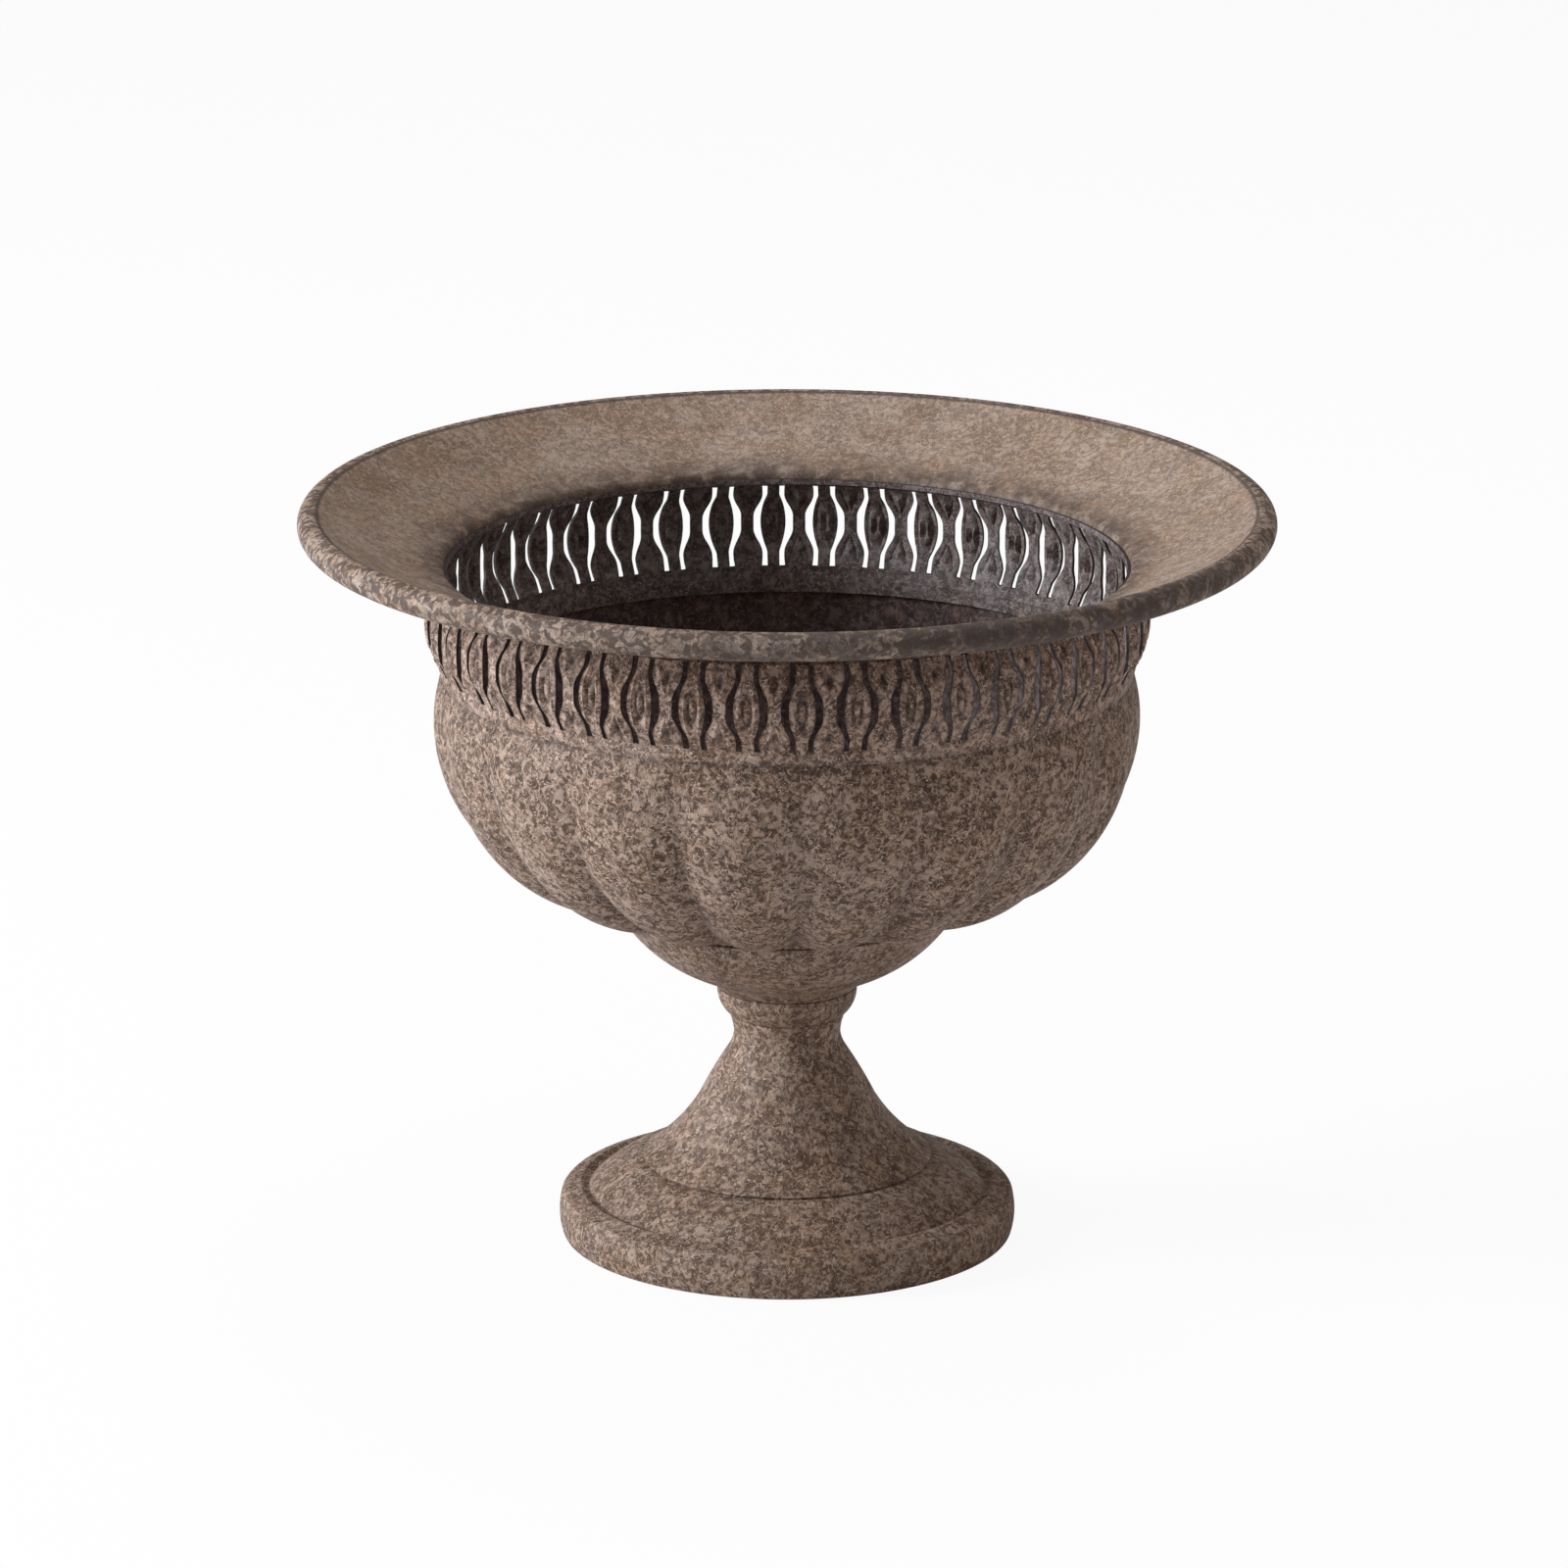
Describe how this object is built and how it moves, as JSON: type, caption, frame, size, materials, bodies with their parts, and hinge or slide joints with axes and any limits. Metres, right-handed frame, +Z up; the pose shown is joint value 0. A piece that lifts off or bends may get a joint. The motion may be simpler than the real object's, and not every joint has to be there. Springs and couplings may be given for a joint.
{
  "type": "urn planter",
  "caption": "Pedestal urn planter of sheet steel with a lobed bowl, a pierced band and a wide rolled rim.",
  "frame": {"origin": "centre of the foot's underside, on the floor", "axes": "+Z up along the axis of the urn, -Y towards the front, where a bowl groove and a pair of slots stand"},
  "size_m": [0.4013, 0.4014, 0.3115],
  "materials": {
    "aged_metal": "matt, stone effect",
    "zinc_steel": "satin",
    "black_rubber": "matt"
  },
  "bodies": {
    "root": {"foot_ring": "aged_metal", "stem": "aged_metal", "knop": "aged_metal", "lower_cup": "aged_metal", "lobed_bowl": "aged_metal", "pierced_band": "aged_metal", "rim_flange": "aged_metal", "stem_plate": "zinc_steel", "center_bolt": "zinc_steel", "bowl_washer": "zinc_steel", "seal_washer": "black_rubber", "stem_washer": "zinc_steel", "lock_washer": "zinc_steel", "center_nut": "zinc_steel"}
  },
  "joints": []
}
